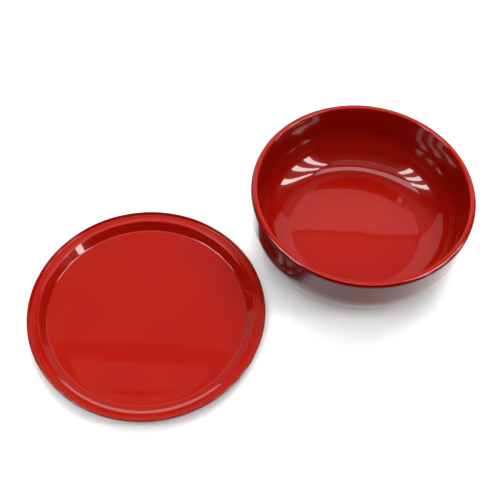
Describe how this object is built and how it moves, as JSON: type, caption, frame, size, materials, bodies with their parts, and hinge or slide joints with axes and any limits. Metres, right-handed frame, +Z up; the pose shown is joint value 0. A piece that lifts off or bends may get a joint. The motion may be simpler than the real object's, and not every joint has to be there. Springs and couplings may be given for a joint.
{
  "type": "rice bowl with lid",
  "caption": "Deep round lacquered rice bowl on a foot ring, with its flat dished lid lying open side up beside it.",
  "frame": {"origin": "centre of the bowl's foot ring, on the table", "axes": "+X from the lid to the bowl, +Z up through the bowl's mouth"},
  "size_m": [0.3482, 0.176, 0.0646],
  "materials": {
    "moulded_core": "bare, seen only on the ring that rubs on the table",
    "vermilion_lacquer": "high gloss lacquer",
    "dark_lacquer": "high gloss lacquer"
  },
  "bodies": {
    "bowl": {"bowl_core": "moulded_core", "bowl_inner_lacquer": "vermilion_lacquer", "bowl_outer_lacquer": "dark_lacquer"},
    "lid": {"lid_core": "moulded_core", "lid_inner_lacquer": "vermilion_lacquer", "lid_outer_lacquer": "dark_lacquer"}
  },
  "joints": [
    {"name": "lid_turn", "type": "hinge", "parent": "bowl", "child": "lid", "pos_m": [-0.0882, 0, 0.0386], "axis": [0, 1, 0], "range_deg": [0, 180]}
  ]
}
